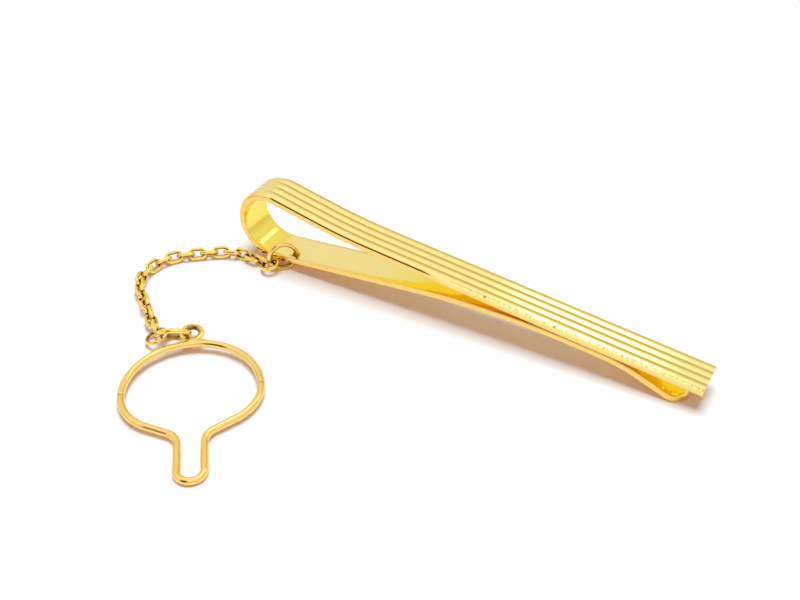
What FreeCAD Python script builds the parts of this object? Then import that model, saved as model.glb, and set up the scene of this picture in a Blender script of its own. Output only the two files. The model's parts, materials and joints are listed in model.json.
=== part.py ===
import FreeCAD, Part
import math
import os

# Tie clip of polished gold strip, with a cable chain and a wire button loop.
# Millimetres, +Z up. The clip lies along X with its eye at -X and its open tip at +X.
# The origin is under the middle of the clip, on the table that the clip lies on.

# Number of narrow flats round the drawn wire: of the rings and the loop, and of the links,
# and of flat steps round each end of a link
RING_SIDES = 12
LINK_SIDES = 6
LINK_STEPS = 8

# Bent strip
CLIP_LENGTH = 57.2
STRIP_WIDTH = 4.6
STRIP_THICKNESS = 0.8
EDGE_BREAK = 0.1

# Reeds on the front bar
REED_COUNT = 4
REED_CROWN = 0.13
REED_BEVEL = 0.14

# Eye at the closed end, outer radii of the plain strip
EYE_TOP_RADIUS = 4.3
EYE_FOOT_RADIUS = 4.55
EYE_LIFT = 0.85

# Front bar, from the eye to the tip
SHOULDER_SLOPE = 12.5
SHOULDER_RUN = 5.8
SHOULDER_RADIUS = 69.0
BAR_SLOPE = 6.2

# Spring leaf, from the eye to the flared end
LEAF_RISE = 5.9
LEAF_CREST_RADIUS = 92.0
JAW_CLEARANCE = 0.03
JAW_RUN = 2.6
FLARE_RADIUS = 17.0
FLARE_SLOPE = 22.0
CURL_RADIUS = 2.7
CURL_RISE = 28.0
LEAF_END_ROUND = 1.7

# Split in the eye where the strip springs
KNUCKLE_CLEARANCE = 0.02

# Hole in the leaf for the clip ring
RING_HOLE_FROM_EYE = 7.35
RING_HOLE_FROM_EDGE = 0.98
RING_HOLE_CLEARANCE = 0.1

# Jump rings on the clip and on the button loop
JUMP_RING_OD = 3.9
JUMP_RING_WIRE = 0.6
CLIP_RING_HEADING = 225.0
CLIP_RING_DROP = 46.0
LOOP_RING_HEADING = 31.0
LOOP_RING_LEAN = 50.0
LOOP_RING_DIP = 20.0

# Small rings at the chain's ends
FIRST_RING_OD = 2.4
FIRST_RING_WIRE = 0.4
FIRST_RING_HEADING = 222.0
LAST_RING_OD = 2.8
LAST_RING_WIRE = 0.44
LAST_RING_TILT = 20.0

# Oval chain links
LINK_LENGTH = 2.3
LINK_WIDTH = 1.5
LINK_WIRE = 0.42
LINK_COUNT = 20
LINK_LEAN = 45.0
TWIST_LINKS = 4
HOOK_CLEARANCE = 0.05
RING_SLACK = 0.13

# Lie of the chain on the table: headings seen from above at some of its links, even between them
CHAIN_LIE = ((1, 169.0), (3, 185.0), (5, 215.0), (8, 220.0), (11, 263.0), (15, 323.0), (20, 320.0))

# Button loop and the bail ring on its top
BAIL_OD = 2.5
BAIL_WIRE = 0.55
BAIL_TILT = 8.0
SOLDER_SINK = 0.12
LOOP_RADIUS = 7.2
LOOP_WIRE = 0.8
LOOP_HEADING = -53.0
LOOP_SHOULDER_RADIUS = 5.3
LOOP_SHOULDER_SLOPE = 29.0
NECK_WIDTH = 2.7
NECK_REACH = 12.35
NECK_FILLET = 1.8

UP = FreeCAD.Vector(0, 0, 1)
ACROSS = FreeCAD.Vector(0, 1, 0)


def vec(x, y, z):
    """A point or direction."""
    return FreeCAD.Vector(x, y, z)


def level(heading):
    """Level unit direction at a heading seen from above."""
    turn = math.radians(heading)
    return vec(math.cos(turn), math.sin(turn), 0)


def climb(heading, slope):
    """Unit direction at a heading, rising at a slope."""
    rise = math.radians(slope)
    return level(heading) * math.cos(rise) + UP * math.sin(rise)


def forward(heading):
    """Unit direction in the XZ plane at a heading above +X."""
    turn = math.radians(heading)
    return vec(math.cos(turn), 0, math.sin(turn))


def left_of(heading):
    """Unit direction in the XZ plane to the left of a heading."""
    return forward(heading + 90)


class Path:
    """Line of runs and bends in the XZ plane, as a wire bender makes it."""

    def __init__(self, start, heading):
        self.point = start
        self.heading = heading
        self.moves = []

    def run(self, length):
        """Go straight on."""
        self.moves.append(("run", self.point, self.heading, length))
        self.point = self.point + forward(self.heading) * length
        return self

    def bend(self, radius, turn):
        """Go round an arc, to the left for a positive turn."""
        side = 1 if turn > 0 else -1
        centre = self.point + left_of(self.heading) * radius * side
        self.moves.append(("bend", self.point, self.heading, (centre, turn)))
        self.heading = self.heading + turn
        self.point = centre - left_of(self.heading) * radius * side
        return self


def carry(section, path):
    """Solid of a section carried along a path.

    The section is a function that gives its face at a point and heading.
    """
    pieces = []
    for kind, point, heading, amount in path.moves:
        face = section(point, heading)
        if kind == "run":
            pieces.append(face.extrude(forward(heading) * amount))
        else:
            centre, turn = amount
            pieces.append(face.revolve(centre, ACROSS * -1, turn))
    if len(pieces) == 1:
        return pieces[0]
    return pieces[0].multiFuse(pieces[1:]).removeSplitter()


def wire_section(wire, sides):
    """Section of drawn wire with narrow flat sides, as wide as the wire across its corners."""
    def at(point, heading):
        corners = []
        for side in range(sides + 1):
            turn = 2 * math.pi * (side + 0.5) / sides
            depth = left_of(heading) * math.cos(turn) + ACROSS * math.sin(turn)
            corners.append(point + depth * wire / 2)
        return Part.Face(Part.makePolygon(corners))
    return at


def strip_section(outer_side, reeds):
    """Section of the strip about its middle, with softened edges.

    outer_side is 1 where the eye's outside is left of the path, and -1 where it is right.
    reeds is the number of convex reeds on the outer face.
    """
    def at(point, heading):
        outward = left_of(heading) * outer_side

        def spot(across, depth):
            return point + ACROSS * across + outward * depth

        half = STRIP_WIDTH / 2
        deep = STRIP_THICKNESS / 2
        bevel = REED_BEVEL if reeds else EDGE_BREAK
        corners = [
            spot(-half + bevel, deep),
            spot(-half, deep - bevel),
            spot(-half, -deep + EDGE_BREAK),
            spot(-half + EDGE_BREAK, -deep),
            spot(half - EDGE_BREAK, -deep),
            spot(half, -deep + EDGE_BREAK),
            spot(half, deep - bevel),
            spot(half - bevel, deep),
        ]
        edges = []
        for first, second in zip(corners, corners[1:]):
            edges.append(Part.LineSegment(first, second).toShape())
        if not reeds:
            edges.append(Part.LineSegment(corners[-1], corners[0]).toShape())
        else:
            reed_width = (STRIP_WIDTH - 2 * bevel) / reeds
            for reed in range(reeds):
                near = half - bevel - reed * reed_width
                crest = spot(near - reed_width / 2, deep + REED_CROWN)
                arc = Part.Arc(spot(near, deep), crest, spot(near - reed_width, deep))
                edges.append(arc.toShape())
        return Part.Face(Part.Wire(edges))
    return at


# Place of the split in the eye, in the middle of the strip's thickness
KNUCKLE = vec(-CLIP_LENGTH / 2 + REED_CROWN + STRIP_THICKNESS / 2, 0, EYE_LIFT + EYE_FOOT_RADIUS)


def bar_path():
    """Middle line of the front bar, from the split in the eye to the tip."""
    path = Path(KNUCKLE, 90)
    path.bend(EYE_TOP_RADIUS - STRIP_THICKNESS / 2, -90 - SHOULDER_SLOPE)
    path.run(SHOULDER_RUN)
    path.bend(SHOULDER_RADIUS, SHOULDER_SLOPE - BAR_SLOPE)
    slope = math.radians(BAR_SLOPE)
    crest_lean = math.sin(slope) * (STRIP_THICKNESS / 2 + REED_CROWN)
    path.run((CLIP_LENGTH / 2 - crest_lean - path.point.x) / math.cos(slope))
    return path


def leaf_path():
    """Middle line of the spring leaf, from the split in the eye to the flared end.

    The rise is as long as brings the leaf up to the bar at the jaw, where the two run side by side.
    The flare is as long as brings the curl down to the table.
    """
    jaw_normal = left_of(-BAR_SLOPE)
    bar_height = bar_path().point.dot(jaw_normal)
    jaw_height = bar_height - STRIP_THICKNESS - JAW_CLEARANCE

    def over_the_crest(rise_run):
        path = Path(KNUCKLE, -90)
        path.bend(EYE_FOOT_RADIUS - STRIP_THICKNESS / 2, 90 + LEAF_RISE)
        path.run(rise_run)
        return path.bend(LEAF_CREST_RADIUS, -LEAF_RISE - BAR_SLOPE)

    lift = jaw_height - over_the_crest(0).point.dot(jaw_normal)
    path = over_the_crest(lift / math.sin(math.radians(LEAF_RISE + BAR_SLOPE)))
    path.run(JAW_RUN)
    path.bend(FLARE_RADIUS, BAR_SLOPE - FLARE_SLOPE)
    curl_middle = CURL_RADIUS - STRIP_THICKNESS / 2
    slope = math.radians(FLARE_SLOPE)
    drop = path.point.z - STRIP_THICKNESS / 2 - curl_middle * (1 - math.cos(slope))
    path.run(drop / math.sin(slope))
    path.bend(curl_middle, FLARE_SLOPE + CURL_RISE)
    return path


def leaf_middle_height(x):
    """Height of the leaf's middle on its straight rise."""
    point, heading = leaf_path().moves[1][1:3]
    return point.z + (x - point.x) * math.tan(math.radians(heading))


class Hook:
    """A ring or link of the tether: where it is, how it is turned, and where the next one hooks on.

    along is the direction from its first hook to its middle, out the one from there to its next hook,
    and side is the direction across it in its own plane.
    """

    def __init__(self, middle, along, side, reach, wire, out=None):
        self.middle = middle
        self.along = along
        self.side = side
        self.reach = reach
        self.wire = wire
        self.out = out if out else along

    def next_wire(self):
        """Middle of the wire that the next piece hooks round."""
        return self.middle + self.out * self.reach

    def next_axis(self):
        """Direction of the wire that the next piece hooks round."""
        return self.face().cross(self.out).normalize()

    def face(self):
        """Direction square to the piece's own plane."""
        return self.side.cross(self.along).normalize()

    def hooked(self, along, side, reach, wire, slack, out=None, pull=None):
        """The next piece, hooked on with slack between the two wires.

        pull is the direction from the next piece's wire to this one's, which is out unless given.
        """
        pull = pull if pull else self.out
        start = self.next_wire() - pull * ((self.wire + wire) / 2 + slack)
        return Hook(start + along * reach, along, side, reach, wire, out)

    def place(self, shape):
        """Shape made in the XZ plane, length along X, moved to this place."""
        turn = FreeCAD.Rotation(self.along, self.face(), self.side, "XZY")
        shape.Placement = FreeCAD.Placement(self.middle, turn)
        return shape


def leaned(along, lean):
    """Direction across a link that leans about its length, level at 0 and upright at 90."""
    flat = UP.cross(along).normalize()
    upright = along.cross(flat)
    lean = math.radians(lean)
    return flat * math.cos(lean) + upright * math.sin(lean)


def across(along, out):
    """Direction square to along in the plane of along and out, on the side of out."""
    return (out - along * out.dot(along)).normalize()


JUMP_REACH = (JUMP_RING_OD - JUMP_RING_WIRE) / 2
FIRST_REACH = (FIRST_RING_OD - FIRST_RING_WIRE) / 2
LAST_REACH = (LAST_RING_OD - LAST_RING_WIRE) / 2
LINK_REACH = (LINK_LENGTH - LINK_WIRE) / 2
LINK_HALF = (LINK_WIDTH - LINK_WIRE) / 2
BAIL_REACH = (BAIL_OD - BAIL_WIRE) / 2
CHAIN_HEIGHT = LINK_WIDTH / 2

HOLE_X = -CLIP_LENGTH / 2 + RING_HOLE_FROM_EYE
HOLE_Y = -STRIP_WIDTH / 2 + RING_HOLE_FROM_EDGE


def ring_in_leaf():
    """Room that the clip ring's slanting wire needs in the leaf.

    Returns how far the ring's middle lies from the hole, and the hole's radius. The ring stands on
    the table, so its inside clears the leaf's lower face and its outside the upper face.
    """
    below = JUMP_RING_OD / 2 - leaf_middle_height(HOLE_X) + STRIP_THICKNESS / 2
    above = below - STRIP_THICKNESS
    inside = math.sqrt((JUMP_RING_OD / 2 - JUMP_RING_WIRE) ** 2 - below ** 2)
    outside = math.sqrt((JUMP_RING_OD / 2) ** 2 - above ** 2)
    return (inside + outside) / 2, (outside - inside) / 2 + RING_HOLE_CLEARANCE


RING_OFFSET, RING_HOLE_RADIUS = ring_in_leaf()


def link_heading(link):
    """Heading of a link, counted from 1 at the clip."""
    for (first, start), (last, end) in zip(CHAIN_LIE, CHAIN_LIE[1:]):
        if link <= last:
            return start + (end - start) * (link - first) / (last - first)
    return CHAIN_LIE[-1][1]


def link_lean(link):
    """Lean of a link: turn and turn about, twisting to upright at both ends of the chain."""
    lean = -LINK_LEAN if link % 2 else LINK_LEAN
    from_start = max(0, 1 - (link - 1) / TWIST_LINKS)
    from_end = max(0, 1 - (LINK_COUNT - link) / TWIST_LINKS)
    return lean + (90 - LINK_LEAN) * (from_end - from_start)


def tether():
    """Rings and links in order from the clip to the button loop, by name."""
    pieces = {}
    away = level(CLIP_RING_HEADING)
    middle = vec(HOLE_X, HOLE_Y, JUMP_RING_OD / 2) + away * RING_OFFSET
    drop = climb(CLIP_RING_HEADING, -CLIP_RING_DROP)
    last = Hook(middle, away, UP, JUMP_REACH, JUMP_RING_WIRE, drop)
    pieces["clip_ring"] = last

    gap = (JUMP_RING_WIRE + FIRST_RING_WIRE) / 2 + RING_SLACK
    hook_height = last.next_wire().z - last.out.z * gap
    fall = math.degrees(math.asin((hook_height - CHAIN_HEIGHT) / (2 * FIRST_REACH)))
    along = climb(FIRST_RING_HEADING, -fall)
    out = climb(link_heading(1), -fall)
    last = last.hooked(along, across(along, out), FIRST_REACH, FIRST_RING_WIRE, RING_SLACK, out)
    pieces["chain_ring_clip_end"] = last

    for link in range(1, LINK_COUNT + 1):
        along = level(link_heading(link))
        side = leaned(along, link_lean(link))
        pull = (last.out + along).normalize() if link > 1 else along
        last = last.hooked(along, side, LINK_REACH, LINK_WIRE, HOOK_CLEARANCE, pull=pull)
        pieces["chain_link_%02d" % link] = last

    line = level(LOOP_RING_HEADING)
    rear = leaned(line, -LOOP_RING_LEAN)
    dip = math.radians(LOOP_RING_DIP)
    hook_height = JUMP_RING_WIRE / 2 - JUMP_REACH * rear.z * (1 - math.sin(dip))
    gap = (JUMP_RING_WIRE + LAST_RING_WIRE) / 2 + RING_SLACK
    out = climb(LOOP_RING_HEADING, LAST_RING_TILT)
    middle_height = hook_height - (LAST_REACH - gap) * out.z
    rise = math.degrees(math.asin((middle_height - CHAIN_HEIGHT) / LAST_REACH))
    along = climb(link_heading(LINK_COUNT), rise)
    last = last.hooked(along, across(along, out), LAST_REACH, LAST_RING_WIRE, HOOK_CLEARANCE, out)
    pieces["chain_ring_loop_end"] = last

    along = line * math.cos(dip) - rear * math.sin(dip)
    out = line * math.cos(dip) + rear * math.sin(dip)
    last = last.hooked(along, across(along, out), JUMP_REACH, JUMP_RING_WIRE, RING_SLACK, out)
    pieces["loop_ring"] = last

    along = line
    side = leaned(along, BAIL_TILT)
    seat = level(LOOP_HEADING)
    normal = along.cross(side)
    seat = (seat - UP * (seat.dot(normal) / normal.z)).normalize()
    last = last.hooked(along, side, BAIL_REACH, BAIL_WIRE, RING_SLACK, seat)
    pieces["bail_ring"] = last
    return pieces


def front_bar():
    """Reeded bar with the upper half of the eye and a rounded end at the split."""
    bar = carry(strip_section(1, REED_COUNT), bar_path())
    start = KNUCKLE - ACROSS * (STRIP_WIDTH / 2)
    return bar.fuse(Part.makeCylinder(STRIP_THICKNESS / 2, STRIP_WIDTH, start, ACROSS)).removeSplitter()


def spring_leaf():
    """Plain leaf with the lower half of the eye, a rounded free end and the ring's hole."""
    path = leaf_path()
    leaf = carry(strip_section(-1, 0), path)

    foot = -STRIP_THICKNESS
    corner = min(LEAF_END_ROUND, STRIP_WIDTH / 2 - EDGE_BREAK)
    plan_start = vec(-CLIP_LENGTH, -STRIP_WIDTH / 2, foot)
    plan = Part.makeBox(CLIP_LENGTH + path.point.x, STRIP_WIDTH, KNUCKLE.z + STRIP_THICKNESS, plan_start)
    end_corners = [edge for edge in plan.Edges if edge.BoundBox.XMin > 0 and edge.BoundBox.YLength < corner
                   and edge.BoundBox.ZLength > corner]
    leaf = leaf.common(plan.makeFillet(corner, end_corners))

    socket_radius = STRIP_THICKNESS / 2 + KNUCKLE_CLEARANCE
    socket = Part.makeCylinder(socket_radius, 2 * STRIP_WIDTH, KNUCKLE - ACROSS * STRIP_WIDTH, ACROSS)
    hole = Part.makeCylinder(RING_HOLE_RADIUS, KNUCKLE.z, vec(HOLE_X, HOLE_Y, foot), UP)
    return leaf.cut(socket).cut(hole)


def ring(reach, wire):
    """Round ring in the XZ plane."""
    return carry(wire_section(wire, RING_SIDES), Path(vec(0, 0, -reach), 0).bend(reach, 360))


def chain_link():
    """Oval link in the XZ plane, with its length along X.

    Links repeat, so their round ends go in flat steps: the link is a closed shell of flat faces between
    the wire's sections, which stand at both ends of each straight side and at each step.
    """
    rail = LINK_LENGTH - LINK_WIDTH
    section = wire_section(LINK_WIRE, LINK_SIDES)
    path = Path(vec(-rail / 2, 0, -LINK_HALF), 0)
    outlines = []
    for end in range(2):
        path.run(rail)
        outlines.append(section(path.point, path.heading).OuterWire.OrderedVertexes)
        for step in range(LINK_STEPS):
            path.bend(LINK_HALF, 180 / LINK_STEPS)
            outlines.append(section(path.point, path.heading).OuterWire.OrderedVertexes)
    faces = []
    for outline, after in zip(outlines, outlines[1:] + outlines[:1]):
        for side in range(LINK_SIDES):
            flat = [outline[side - 1], outline[side], after[side], after[side - 1], outline[side - 1]]
            faces.append(Part.Face(Part.makePolygon([corner.Point for corner in flat])))
    shell = Part.makeShell(faces)
    shell.sewShape()
    return Part.makeSolid(shell)


def loop_place(bail):
    """Place of the button loop's middle: soldered to the bail at its top, with its neck on the table."""
    reach = BAIL_REACH + (BAIL_WIRE + LOOP_WIRE) / 2 - SOLDER_SINK
    top = bail.middle + bail.out * reach
    fall = math.asin((top.z - LOOP_WIRE / 2) / (LOOP_RADIUS + NECK_REACH))
    along = climb(LOOP_HEADING, -math.degrees(fall))
    return Hook(top + along * LOOP_RADIUS, along, leaned(along, 0), LOOP_RADIUS, LOOP_WIRE)


def loop_arc():
    """Half circle of wire that carries the bail, on the -X side of the loop's middle."""
    path = Path(vec(0, 0, LOOP_RADIUS), 180)
    return carry(wire_section(LOOP_WIRE, RING_SIDES), path.bend(LOOP_RADIUS, 180))


def loop_neck_wire():
    """Lower wire: flat shoulders from the arc's ends to a narrow neck with a round end at +X."""
    bottom = NECK_WIDTH / 2
    swing = 90 - LOOP_SHOULDER_SLOPE
    sine = math.sin(math.radians(LOOP_SHOULDER_SLOPE))
    cosine = math.cos(math.radians(LOOP_SHOULDER_SLOPE))
    shoulder_end = LOOP_RADIUS - LOOP_SHOULDER_RADIUS * (1 - sine)
    shoulder_run = (shoulder_end - bottom - NECK_FILLET * (1 - sine)) / cosine
    throat = (LOOP_SHOULDER_RADIUS + NECK_FILLET) * cosine + shoulder_run * sine
    straight = NECK_REACH - bottom - throat
    path = Path(vec(0, 0, -LOOP_RADIUS), 0)
    path.bend(LOOP_SHOULDER_RADIUS, swing).run(shoulder_run).bend(NECK_FILLET, -swing).run(straight)
    path.bend(bottom, 180)
    path.run(straight).bend(NECK_FILLET, -swing).run(shoulder_run).bend(LOOP_SHOULDER_RADIUS, swing)
    return carry(wire_section(LOOP_WIRE, RING_SIDES), path)


def build():
    """Every node of the tie clip, by name."""
    nodes = {"front_bar": front_bar(), "spring_leaf": spring_leaf()}
    pieces = tether()
    for name, piece in pieces.items():
        shape = chain_link() if name.startswith("chain_link") else ring(piece.reach, piece.wire)
        nodes[name] = piece.place(shape)
    loop = loop_place(pieces["bail_ring"])
    nodes["loop_arc"] = loop.place(loop_arc())
    nodes["loop_neck_wire"] = loop.place(loop_neck_wire())
    nodes["bail_ring"] = nodes["bail_ring"].cut(nodes["loop_arc"])
    return nodes


os.makedirs("parts", exist_ok=True)
NODES = build()
for node_name, node_shape in NODES.items():
    node_shape.exportStep("parts/%s.step" % node_name)
    print("%-22s volume %8.3f mm3, valid %s" % (node_name, node_shape.Volume, node_shape.isValid()))
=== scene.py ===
import json
import logging
import math
from dataclasses import dataclass, field
from enum import Enum

import bpy
import numpy as np
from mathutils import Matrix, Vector

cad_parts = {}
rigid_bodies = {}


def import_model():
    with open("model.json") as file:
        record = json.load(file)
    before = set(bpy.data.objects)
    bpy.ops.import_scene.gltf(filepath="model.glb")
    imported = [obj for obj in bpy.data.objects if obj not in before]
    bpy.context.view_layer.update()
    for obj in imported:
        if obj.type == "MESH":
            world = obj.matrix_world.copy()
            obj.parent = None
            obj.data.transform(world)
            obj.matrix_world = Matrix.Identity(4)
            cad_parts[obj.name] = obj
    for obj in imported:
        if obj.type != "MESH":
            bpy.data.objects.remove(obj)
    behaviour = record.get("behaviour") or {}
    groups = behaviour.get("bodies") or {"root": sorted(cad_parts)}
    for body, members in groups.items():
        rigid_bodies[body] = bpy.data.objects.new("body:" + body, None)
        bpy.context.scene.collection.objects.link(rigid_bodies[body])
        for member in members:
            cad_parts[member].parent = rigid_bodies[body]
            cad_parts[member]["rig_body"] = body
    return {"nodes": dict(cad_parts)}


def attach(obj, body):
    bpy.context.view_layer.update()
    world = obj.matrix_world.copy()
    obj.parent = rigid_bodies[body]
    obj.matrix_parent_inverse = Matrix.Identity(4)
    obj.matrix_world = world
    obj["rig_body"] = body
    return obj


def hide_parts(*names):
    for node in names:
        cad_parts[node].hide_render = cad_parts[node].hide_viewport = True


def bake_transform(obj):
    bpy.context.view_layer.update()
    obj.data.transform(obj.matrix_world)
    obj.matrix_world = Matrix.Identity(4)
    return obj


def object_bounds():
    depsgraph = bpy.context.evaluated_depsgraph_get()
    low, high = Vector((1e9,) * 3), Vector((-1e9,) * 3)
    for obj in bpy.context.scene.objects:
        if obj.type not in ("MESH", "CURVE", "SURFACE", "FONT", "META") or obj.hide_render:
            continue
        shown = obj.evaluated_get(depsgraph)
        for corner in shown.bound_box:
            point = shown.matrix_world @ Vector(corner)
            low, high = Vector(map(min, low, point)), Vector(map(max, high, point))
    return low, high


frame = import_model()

# Looks of a reeded gold tie clip, its cable chain and its wire button loop.
# Shapes are worked out in millimetres in the frame of the solids, and go into the meshes in metres.
# Wire stands a little proud of the flats of its solid, and no point leaves the box of the solids.

MM = 0.001
BOX = np.array([list(corner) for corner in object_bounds()]) / MM
CREASE = math.radians(32.0)
LOG = logging.getLogger("tie_clip")

Array = np.ndarray
Colour = tuple[float, float, float]
Point = tuple[float, float, float]
Stop = tuple[float, Colour]
Span = tuple[str, float, float]
NodeSocket = bpy.types.NodeSocket


class Move(Enum):
    """How a bent line goes on."""

    RUN = "straight"
    BEND = "round"


class Socket(Enum):
    """Kinds of socket that an effect group has."""

    VALUE = "NodeSocketFloat"
    VECTOR = "NodeSocketVector"


# Numpy surfaces


def unit(heading: float | Array) -> Array:
    """Unit direction in a plane at a heading in degrees: its cosine and sine."""
    turn = np.radians(heading)
    return np.stack([np.cos(turn), np.sin(turn)], axis=-1)


def full_turn(count: int, start: float = 0.0) -> Array:
    """Angles in radians that share a full turn evenly, from a start."""
    return start + np.linspace(0, 2 * math.pi, count, endpoint=False)


def smooth_step(low: float, high: float, value: Array) -> Array:
    """Goes from 0 at low to 1 at high with level ends: three times the square less twice the cube."""
    share = np.clip((value - low) / (high - low), 0, 1)
    return share * share * (3 - 2 * share)


def grid_faces(rows: int, columns: int, ring: bool) -> Array:
    """Quads of a grid whose points are numbered row by row, each row a closed outline.

    Args:
        rows: Number of rows.
        columns: Points in each row.
        ring: True where the last row joins the first.

    Returns:
        Four point numbers for each quad.
    """
    row = np.arange(rows if ring else rows - 1)
    here, beside = np.meshgrid(row, np.arange(columns), indexing="ij")
    after = (here + 1) % rows
    next_to = (beside + 1) % columns
    corners = (here * columns + beside, after * columns + beside,
               after * columns + next_to, here * columns + next_to)
    return np.stack(corners, axis=-1).reshape(-1, 4)


def enclosed_volume(points: Array, faces: Array) -> float:
    """Signed volume inside quads: the sum of each quad's two triangles' triple products over six."""
    a, b, c, d = (points[faces[:, k]] for k in range(4))
    return float(np.sum(a * (np.cross(b, c) + np.cross(c, d)))) / 6


@dataclass
class Surface:
    """A closed surface on a grid of points, rows along a line and columns round an outline.

    Args:
        points: Grid of points in mm, rows by columns by 3.
        ring: True where the line closes on itself, so that it has no end faces.
        marks: Value for each point of the grid, by the name of the attribute that holds it.
    """

    points: Array
    ring: bool = False
    marks: dict[str, Array] = field(default_factory=dict)

    def piece(self, name: str) -> bpy.types.Object:
        """Puts the surface into the scene as a mesh with outward faces, sharp at edges past the crease.

        Args:
            name: Name of the new object.

        Returns:
            The new object.
        """
        rows, columns = self.points.shape[:2]
        flat = np.clip(self.points.reshape(-1, 3), BOX[0], BOX[1])
        quads = grid_faces(rows, columns, self.ring)
        first = list(range(columns))
        last = list(range((rows - 1) * columns, rows * columns))
        if enclosed_volume(flat - flat.mean(0), quads) < 0:
            quads = quads[:, ::-1]
            first.reverse()
        else:
            last.reverse()
        faces = quads.tolist()
        if not self.ring:
            faces += [first, last]
        mesh = bpy.data.meshes.new(name)
        mesh.from_pydata((flat * MM).tolist(), [], faces)
        mesh.polygons.foreach_set("use_smooth", np.ones(len(faces), bool))
        mesh.set_sharp_from_angle(angle=CREASE)
        for mark, values in self.marks.items():
            layer = mesh.attributes.new(mark, "FLOAT", "POINT")
            spread = np.broadcast_to(values, (rows, columns)).astype(np.float32)
            layer.data.foreach_set("value", spread.ravel())
        mesh.update()
        made = bpy.data.objects.new(name, mesh)
        bpy.context.scene.collection.objects.link(made)
        return made


@dataclass(frozen=True)
class Place:
    """A middle and three unit directions: along, side and face.

    Args:
        middle: Middle in mm.
        along: First direction in the piece's own plane.
        side: Second direction in that plane.
        face: Direction square to the plane.
    """

    middle: Array
    along: Array
    side: Array
    face: Array

    def put(self, along: Array, side: Array, face: Array) -> Array:
        """Points at distances along the three directions."""
        return (self.middle + along[..., None] * self.along + side[..., None] * self.side
                + face[..., None] * self.face)


def node_triangles(node: str) -> tuple[Array, Array]:
    """Middles in mm and areas of the triangles of a solid's mesh.

    Args:
        node: Name of the solid.

    Returns:
        Middles, one row each, and areas.
    """
    mesh = frame["nodes"][node].data
    mesh.calc_loop_triangles()
    points = np.empty(len(mesh.vertices) * 3)
    mesh.vertices.foreach_get("co", points)
    corners = np.empty(len(mesh.loop_triangles) * 3, np.int32)
    mesh.loop_triangles.foreach_get("vertices", corners)
    a, b, c = np.moveaxis(points.reshape(-1, 3)[corners.reshape(-1, 3)] / MM, 1, 0)
    return (a + b + c) / 3, np.linalg.norm(np.cross(b - a, c - a), axis=1) / 2


def node_place(node: str) -> Place:
    """Place of a flat ring or link, from the spread of its solid's skin.

    The widest spread is along and the narrowest is square to its plane. The middle is that of the circle
    that fits the skin best: for a circle, the square of a point's distance is a linear sum of its
    coordinates, so the fit is a linear one.

    Args:
        node: Name of the solid.

    Returns:
        The place.
    """
    points, areas = node_triangles(node)
    share = areas / areas.sum()
    mean = share @ points
    spread = (points - mean).T @ ((points - mean) * share[:, None])
    face, _, along = np.linalg.eigh(spread)[1].T
    along = along if along[0] >= 0 else -along
    face = face if face[2] >= 0 else -face
    side = np.cross(face, along)
    flat = np.stack([(points - mean) @ along, (points - mean) @ side], axis=1)
    weight = np.sqrt(share)[:, None]
    unknown = np.concatenate([2 * flat, np.ones((len(flat), 1))], axis=1)
    fit = np.linalg.lstsq(unknown * weight, (flat ** 2).sum(1) * weight[:, 0], rcond=None)[0]
    return Place(mean + along * fit[0] + side * fit[1], along, side, face)


@dataclass
class BentLine:
    """Middle line of bent stock in a plane, as a bender makes it from runs and bends.

    Args:
        point: Where it starts, two coordinates in mm.
        heading: Direction at the start, in degrees.
        step: Longest distance between two points of a run, in mm.
        turn_step: Largest turn between two points of a bend, in degrees.
        points: Points of the start and of each run or bend.
        headings: Directions at those points, in degrees.
    """

    point: Array
    heading: float
    step: float = 0.3
    turn_step: float = 2.0
    points: list[Array] = field(default_factory=list)
    headings: list[Array] = field(default_factory=list)

    def __post_init__(self) -> None:
        """Keeps the first point."""
        self.points.append(np.array([self.point], float))
        self.headings.append(np.array([self.heading], float))

    def go(self, move: Move, size: float, turn: float = 0.0) -> "BentLine":
        """Goes on along a run, or round a bend: the bend's points lie at its radius from its centre.

        Args:
            move: Run or bend.
            size: Length of the run or radius of the bend, in mm.
            turn: Turn of the bend in degrees, to the left where positive.

        Returns:
            This line.
        """
        start, heading = self.end(), self.headings[-1][-1]
        if move is Move.RUN:
            share = np.linspace(0, 1, max(1, math.ceil(size / self.step)) + 1)[1:]
            self.headings.append(np.full(len(share), heading))
            self.points.append(start + share[:, None] * size * unit(heading))
            return self
        count = max(2, math.ceil(abs(turn) / self.turn_step))
        turned = heading + turn * np.linspace(0, 1, count + 1)[1:]
        reach = size * math.copysign(1, turn)
        centre = start + unit(heading + 90) * reach
        self.headings.append(turned)
        self.points.append(centre - unit(turned + 90) * reach)
        return self

    def end(self) -> Array:
        """The last point."""
        return self.points[-1][-1]

    def arrays(self) -> tuple[Array, Array]:
        """All points and headings in order."""
        return np.concatenate(self.points), np.concatenate(self.headings)


# Finishes


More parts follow.
